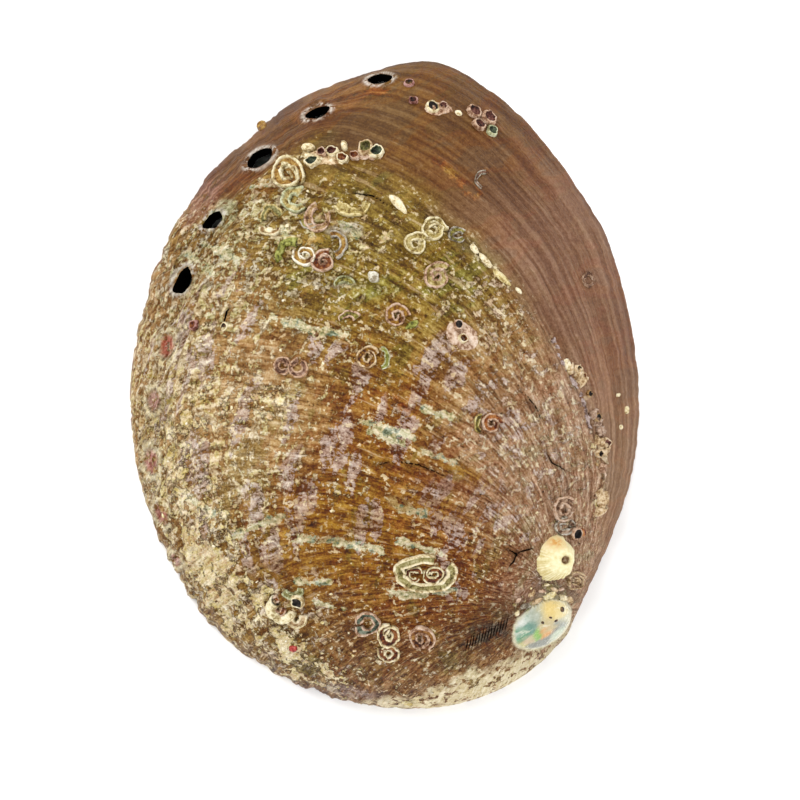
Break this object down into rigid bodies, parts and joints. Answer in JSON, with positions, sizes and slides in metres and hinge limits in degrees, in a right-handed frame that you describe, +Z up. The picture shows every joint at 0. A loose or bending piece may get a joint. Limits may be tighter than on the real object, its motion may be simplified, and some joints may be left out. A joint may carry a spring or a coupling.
{
  "type": "abalone shell",
  "caption": "Oval ear-shaped abalone shell, a low dome with a spiral row of breathing holes, worm tubes and a barnacle, open below.",
  "frame": {"origin": "centre of the shell's outline on the surface it lies on", "axes": "+Z up out of the dome, +Y towards the newest growth along the shell's length, +X away from the hole row"},
  "size_m": [0.0943, 0.1199, 0.0312],
  "materials": {
    "shell": "matte",
    "barnacle": "matte"
  },
  "bodies": {
    "root": {"shell": "shell", "barnacle": "barnacle"}
  },
  "joints": []
}
